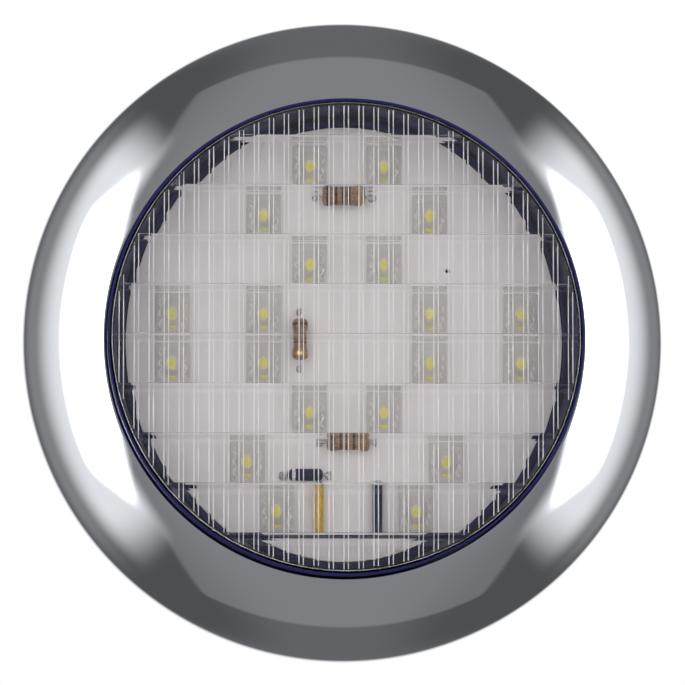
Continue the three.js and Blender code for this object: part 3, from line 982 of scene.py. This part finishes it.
def add_axial_wires(bm, axis, length, slot):
    """A wire at either end, bent down to the board, with a fillet of solder round its foot."""
    half = length / 2
    reach = half + WIRE_REACH
    top = BOARD_FRONT + 0.7
    fillet = [(0, BOARD_FRONT), (0.8, BOARD_FRONT), (0.65, BOARD_FRONT + 0.12), (0.42, BOARD_FRONT + 0.45),
              (0.34, top), (0, top)]
    for side in (-1, 1):
        route = [(side * (half - 0.3), axis, 0), (side * (reach - 0.6), axis, 0)]
        route += [(side * (reach - 0.12), axis - 0.3, 0), (side * reach, axis - 0.9, 0)]
        route.append((side * reach, BOARD_FRONT - 0.1, 0))
        sweep(bm, route, WIRE_R, 12, slot)
        turn(bm, fillet, 24, (side * reach, 0), slot)


def axial_mesh(sizes, bands, body, band_colors):
    """A component along X over the board, about its own centre."""
    length, radius, bulge = sizes["length"], sizes["radius"], sizes["bulge"]
    axis = BOARD_FRONT + AXIAL_STANDOFF + radius + bulge
    bm = bmesh.new()
    add_axial_body(bm, axis, length, radius, bulge, bands)
    add_axial_wires(bm, axis, length, len(bands) + 1)
    mesh = finish_mesh(bm, sizes["name"])
    paint(mesh, body, *band_colors, "tinned_solder")
    return mesh


def make_axial_parts():
    resistor = axial_mesh(RESISTOR, RESISTOR_BANDS, "resistor_lacquer", RESISTOR_COLORS)
    diode = axial_mesh(DIODE, DIODE_BANDS, "diode_epoxy", ["lead_frame"])
    for node in ("resistor_1", "resistor_2", "resistor_3"):
        low, high = node_box(node)
        upright = high.z - low.z > high.x - low.x
        place_copy(f"axial_{node}", resistor, "resistor_body", node, math.pi / 2 if upright else 0.0)
    place_copy("axial_diode", diode, "diode_body", "diode")


# ---- leads ----

PAIR_HALF = 1.3
LEAD_END = -1.0
STRANDS_R = 0.7
STRANDS_REACH = 2.4


def lead_route(x, side):
    """From the solder joint down the board's front, through its hole, and back up to the inlet."""
    front = BOARD_FRONT + TOUCH_GAP + LEAD_R
    behind = (FLANGE_FRONT + BOARD_BACK) / 2
    pair_x = side * PAIR_HALF
    return [
        (x, front, LEAD_START_Z), (x, front, LEAD_START_Z - 3), (x, front, LEAD_HOLE_Z + 2.8),
        (x, front - 0.1, LEAD_HOLE_Z + 1), (x, (BOARD_FRONT + BOARD_BACK) / 2, LEAD_HOLE_Z),
        (x, behind + 0.1, LEAD_HOLE_Z + 1), (x, behind, LEAD_HOLE_Z + 3),
        ((x + pair_x) / 2, behind, (LEAD_HOLE_Z + INLET.z) / 2), (pair_x, behind, INLET.z - 4.5),
        (pair_x, behind - 0.3, INLET.z - 1.8), (pair_x, behind - 2, INLET.z - 0.3),
        (pair_x, FLANGE_FRONT - 3, INLET.z), (pair_x, LEAD_END, INLET.z),
    ]


def add_joint(bm, x):
    """The lead's bare strands, bent down to the board, and the drop of solder that holds them."""
    front = BOARD_FRONT + TOUCH_GAP + LEAD_R
    tip = LEAD_START_Z + STRANDS_REACH
    strands = [(x, front, LEAD_START_Z - 0.5), (x, front, LEAD_START_Z + 0.6), (x, front - 0.6, tip - 0.7),
               (x, BOARD_FRONT + 0.1, tip)]
    sweep(bm, strands, STRANDS_R, 12, 1)
    blob = [(0, BOARD_FRONT), (1.35, BOARD_FRONT), (1.25, BOARD_FRONT + 0.3), (0.8, BOARD_FRONT + 0.75),
            (0.3, BOARD_FRONT + 0.95), (0, BOARD_FRONT + 1.0)]
    turn(bm, blob, 32, (x, tip), 1)


def make_lead(node, x, side, insulation):
    """An insulated lead, whole from its solder joint to the inlet."""
    bm = bmesh.new()
    sweep(bm, lead_route(x, side), LEAD_R, 20)
    add_joint(bm, x)
    lead = add_object(f"{node}_wire", finish_mesh(bm, node), insulation, "tinned_solder")
    place(lead, "lamp", f"{node.split('_')[1]}_sleeve", node)


# ---- screws and clips ----

SCREW_SEAT = FLANGE_FRONT + 1.3
SCREW_TIP = -14.0
SCREW_SIDES = 32
SCREW_STEP = 0.16
THREAD_PITCH = 1.6
THREAD_CORE = 1.45
THREAD_CREST = 2.0
THREAD_WIDTH = 0.22
POINT_LENGTH = 3.6
POINT_BLUNT = 0.08
SHANK_SINK = 0.2
RECESS_HALF = (2.1, 0.5)
RECESS_DEPTH = 1.1
RECESS_SHARP_DEGREES = 28

CLIP_THICKNESS = 0.6
CLIP_WIDTH = 8.0
CLIP_TIP_SHARE = 0.84
CLIP_SEAT = FLANGE_FRONT + TOUCH_GAP
CLIP_FOLD = [
    (58.0, CLIP_SEAT), (61.0, CLIP_SEAT), (64.7, CLIP_SEAT), (65.0, CLIP_SEAT + 0.3),
    (65.85, CLIP_SEAT + 1.45), (65.85, CLIP_SEAT + 1.75), (64.6, CLIP_SEAT + 3.1),
]


def thread_radius(forward, turned):
    """The screw's radius at a height, a share of a turn round: its thread, plain under the head."""
    phase = (forward / THREAD_PITCH - turned) % 1.0
    plain = smooth_step(SCREW_SEAT - 3, SCREW_SEAT - 2, forward)
    ridge = max(0.0, 1 - abs(phase - 0.5) / THREAD_WIDTH) * (1 - plain)
    taper = min(1.0, (forward - SCREW_TIP) / POINT_LENGTH)
    return (THREAD_CORE + (THREAD_CREST - THREAD_CORE) * ridge) * (POINT_BLUNT + (1 - POINT_BLUNT) * taper)


def screw_shank_mesh():
    bm = bmesh.new()
    rings = []
    for i in range(1, int((SCREW_SEAT - SHANK_SINK - SCREW_TIP) / SCREW_STEP) + 1):
        forward = SCREW_TIP + i * SCREW_STEP
        ring = []
        for k, (cosine, sine) in enumerate(circle(SCREW_SIDES)):
            r = thread_radius(forward, k / SCREW_SIDES)
            ring.append(bm.verts.new((r * cosine * MM, -forward * MM, r * sine * MM)))
        rings.append(ring)
    skin(bm, rings, [0] * (len(rings) - 1))
    return finish_mesh(bm, "screw_body")


def screw_head_mesh():
    seat = SCREW_SEAT
    outline = [(0, seat - 0.4), (1.4, seat - 0.4), (1.4, seat), (3.6, seat), (3.9, seat + 0.3),
               (3.85, seat + 1.1), (3.4, seat + 1.95), (2.4, seat + 2.45), (0, seat + 2.6)]
    return lathe("head", outline, 64)


def screw_mesh():
    """A self-tapping screw about its own axis, with a pan head and a cross recess."""
    screw = add_object("screw_body", screw_shank_mesh())
    cut(screw, screw_head_mesh(), operation="UNION")
    half_length, half_width = RECESS_HALF
    for angle in (0, math.pi / 2):
        bm = bmesh.new()
        low = (-half_length, SCREW_SEAT + RECESS_DEPTH, -half_width)
        box(bm, low, (half_length, SCREW_SEAT + 4, half_width))
        bmesh.ops.rotate(bm, verts=bm.verts, cent=(0, 0, 0), matrix=Matrix.Rotation(angle, 3, "Y"))
        cut(screw, finish_mesh(bm, "recess"), sharp_degrees=RECESS_SHARP_DEGREES)
    mesh = screw.data
    bpy.data.objects.remove(screw)
    paint(mesh, "stainless_steel")
    return mesh


def make_screws():
    mesh = screw_mesh()
    for node in SCREWS:
        place_copy(f"pan_head_{node}", mesh, "stainless", node)


def clip_mesh():
    """A bent strip with rounded folds, its bend line given as (radius, forward)."""
    bm = bmesh.new()
    sections = []
    last = len(CLIP_FOLD) - 1
    for i, (radius, forward) in enumerate(CLIP_FOLD):
        ahead = Vector(CLIP_FOLD[min(i + 1, last)]) - Vector(CLIP_FOLD[max(i - 1, 0)])
        normal = Vector((-ahead.y, ahead.x)).normalized() * CLIP_THICKNESS
        inner = Vector((radius, forward)) + normal
        half = CLIP_WIDTH / 2 * (CLIP_TIP_SHARE if i == last else 1)
        corners = [(radius, forward, -half), (radius, forward, half), (inner.x, inner.y, half),
                   (inner.x, inner.y, -half)]
        sections.append([bm.verts.new((x * MM, -y * MM, z * MM)) for x, y, z in corners])
    skin(bm, sections, [0] * last)
    bmesh.ops.bevel(bm, geom=list(bm.edges), offset=0.08 * MM, segments=2, profile=0.5, affect="EDGES")
    mesh = finish_mesh(bm, "clip")
    paint(mesh, "stainless_steel")
    return mesh


def make_clips():
    mesh = clip_mesh()
    for node in CLIPS:
        at = node_centre(node)
        clip = add_object(f"leaf_{node}", mesh)
        clip.rotation_euler.y = -math.atan2(at.z, at.x)
        place(clip, "lamp", "stainless", node)


# ---- camera and floor ----

CAMERA_DISTANCE = 1.5
CAMERA_LEFT = 0.038
CAMERA_BELOW = 0.059
CAMERA_TARGET = Vector((0, -0.0015, 0))
SENSOR_WIDTH = 36.0
FRAME_SIDE = 0.15208
FLOOR_DROP = 0.26
FLOOR_HALF = 6


def make_camera():
    """A long lens a little to the left of and below the lamp's axis."""
    data = bpy.data.cameras.new("camera")
    data.sensor_width = SENSOR_WIDTH
    data.lens = SENSOR_WIDTH * CAMERA_DISTANCE / FRAME_SIDE
    data.clip_end = 20
    camera = bpy.data.objects.new("camera", data)
    bpy.context.scene.collection.objects.link(camera)
    away = Vector((-CAMERA_LEFT, -1, -CAMERA_BELOW)).normalized()
    camera.location = CAMERA_TARGET + away * CAMERA_DISTANCE
    camera.rotation_mode = "QUATERNION"
    camera.rotation_quaternion = (-away).to_track_quat("-Z", "Y")
    bpy.context.scene.camera = camera


def make_floor():
    bm = bmesh.new()
    bmesh.ops.create_grid(bm, x_segments=1, y_segments=1, size=FLOOR_HALF)
    floor = add_object("studio_floor", finish_mesh(bm, "studio_floor"), "floor_paper")
    floor.location.z = -FLOOR_DROP
    floor.visible_glossy = False
    floor.visible_diffuse = False


# ---- studio light: angles are bearings and heights about the direction that the lens's face mirrors ----

MIRROR_RIGHT = math.radians(2.2)
MIRROR_UP = math.radians(3.4)

BOX_STRENGTH = 6.0
BOX_INNER = (math.radians(10), math.radians(18))
BOX_LEAN = 0.8
BOX_OUTER = (math.radians(45), math.radians(55))
BOX_TOP = (math.radians(17), math.radians(24))

GLOW_INNER = (math.radians(19), math.radians(27))
GLOW_FADE = (math.radians(54), math.radians(100), 0.8, 0.16)
GLOW_SLANT = (math.tan(math.radians(35.5)), math.tan(math.radians(51)), 1.0, 0.0)
GLOW_HIGH = (math.radians(30), math.radians(60), 1.0, 0.3)
GLOW_BEHIND = (math.radians(110), math.radians(150), 1.0, 0.3)

PANEL_HALF = 0.3
PANEL_FLARE = 0.35
PANEL_EDGE = 0.03
PANEL_LIGHT = 0.1
PANEL_TOP = (1.33, 1.5)
STEEPEST_RUN = math.radians(85)
NEAR_ZERO = 0.05

ROOM_LIGHT = (0.1, 0.42, 0.145, 0.09)
BACK_LIGHT = (-0.98, -0.8, 0.7, 0.0)


class World:
    """The studio as seen from the lamp: grey surroundings with a soft box on either side."""

    def __init__(self):
        world = bpy.data.worlds.new("studio")
        bpy.context.scene.world = world
        world.use_nodes = True
        self.tree = world.node_tree
        self.tree.nodes.clear()
        separate = self.tree.nodes.new("ShaderNodeSeparateXYZ")
        direction = self.tree.nodes.new("ShaderNodeTexCoord").outputs["Generated"]
        self.tree.links.new(direction, separate.inputs["Vector"])
        self.x, self.y, self.z = (separate.outputs[axis] for axis in "XYZ")
        self.forward = self.math("MULTIPLY", self.y, -1.0)

    def math(self, operation, a, b=0.0, c=0.0):
        node = self.tree.nodes.new("ShaderNodeMath")
        node.operation = operation
        for socket, value in zip(node.inputs, (a, b, c)):
            if isinstance(value, (int, float)):
                socket.default_value = value
            else:
                self.tree.links.new(value, socket)
        return node.outputs[0]

    def product(self, *values):
        result = values[0]
        for value in values[1:]:
            result = self.math("MULTIPLY", result, value)
        return result

    def total(self, *values):
        result = values[0]
        for value in values[1:]:
            result = self.math("ADD", result, value)
        return result

    def distance(self, value, middle):
        return self.math("ABSOLUTE", self.math("SUBTRACT", value, middle))

    def ease(self, value, low, high, bottom=0.0, top=1.0):
        """Go smoothly from bottom, at low, to top, at high."""
        node = self.tree.nodes.new("ShaderNodeMapRange")
        node.interpolation_type = "SMOOTHSTEP"
        for socket, number in zip(("From Min", "From Max", "To Min", "To Max"), (low, high, bottom, top)):
            node.inputs[socket].default_value = number
        self.tree.links.new(value, node.inputs["Value"])
        return node.outputs["Result"]

    def background(self, strength):
        node = self.tree.nodes.new("ShaderNodeBackground")
        node.inputs["Color"].default_value = WHITE
        if isinstance(strength, float):
            node.inputs["Strength"].default_value = strength
        else:
            self.tree.links.new(strength, node.inputs["Strength"])
        return node.outputs["Background"]

    def show(self, studio, paper):
        """Light the lamp with the studio, and show plain paper behind it."""
        nodes, links = self.tree.nodes, self.tree.links
        mix = nodes.new("ShaderNodeMixShader")
        links.new(nodes.new("ShaderNodeLightPath").outputs["Is Camera Ray"], mix.inputs["Fac"])
        links.new(studio, mix.inputs[1])
        links.new(paper, mix.inputs[2])
        output = nodes.new("ShaderNodeOutputWorld")
        links.new(mix.outputs["Shader"], output.inputs["Surface"])


def soft_boxes(world, bearing, height):
    """A bright box on either side, whose inner edge leans outwards above and below."""
    inward = world.math("SUBTRACT", bearing, world.math("MULTIPLY", height, BOX_LEAN))
    inner = world.ease(inward, *BOX_INNER)
    outer = world.ease(bearing, *BOX_OUTER, BOX_STRENGTH, 0.0)
    return world.product(inner, outer, world.ease(height, *BOX_TOP, 1.0, 0.0))


def side_glow(world, bearing, height):
    """The boxes' weaker light on the walls round them, which ends at a slanting line."""
    sideways = world.distance(world.x, math.sin(MIRROR_RIGHT))
    upward = world.distance(world.z, math.sin(MIRROR_UP))
    slant = world.math("DIVIDE", upward, world.math("MAXIMUM", sideways, NEAR_ZERO))
    return world.product(
        world.ease(bearing, *GLOW_INNER), world.ease(bearing, *GLOW_FADE), world.ease(slant, *GLOW_SLANT),
        world.ease(height, *GLOW_HIGH), world.ease(bearing, *GLOW_BEHIND),
    )


def front_panel(world, bearing):
    """A faint upright panel straight ahead, wider towards its top and bottom."""
    depth = world.math("MAXIMUM", world.forward, NEAR_ZERO)
    run = world.math("TANGENT", world.math("MINIMUM", bearing, STEEPEST_RUN))
    rise = world.distance(world.math("DIVIDE", world.z, depth), math.tan(MIRROR_UP))
    edge = world.math("SUBTRACT", run, world.math("MULTIPLY_ADD", rise, PANEL_FLARE, PANEL_HALF))
    inside = world.ease(edge, -PANEL_EDGE, PANEL_EDGE, 1.0, 0.0)
    return world.product(inside, world.ease(rise, *PANEL_TOP, PANEL_LIGHT, 0.0))


def make_world():
    world = World()
    bearing = world.distance(world.math("ARCTAN2", world.x, world.forward), MIRROR_RIGHT)
    height = world.distance(world.math("ARCSINE", world.z), MIRROR_UP)
    room = world.ease(world.math("ABSOLUTE", world.x), *ROOM_LIGHT)
    behind = world.ease(world.forward, *BACK_LIGHT)
    level = world.total(
        room, front_panel(world, bearing), side_glow(world, bearing, height),
        soft_boxes(world, bearing, height), behind,
    )
    world.show(world.background(level), world.background(1.0))


bpy.context.scene.view_settings.view_transform = "Standard"
make_camera()
make_world()
make_floor()

make_trim_ring()
make_lens()
make_housing()
make_gasket()
make_seal()
make_sleeve()
make_grommet()
make_board()
make_leds()
make_axial_parts()
make_lead("lead_yellow", YELLOW_LEAD_X, -1, "yellow_insulation")
make_lead("lead_black", BLACK_LEAD_X, 1, "black_insulation")
make_screws()
make_clips()

bpy.context.view_layer.update()
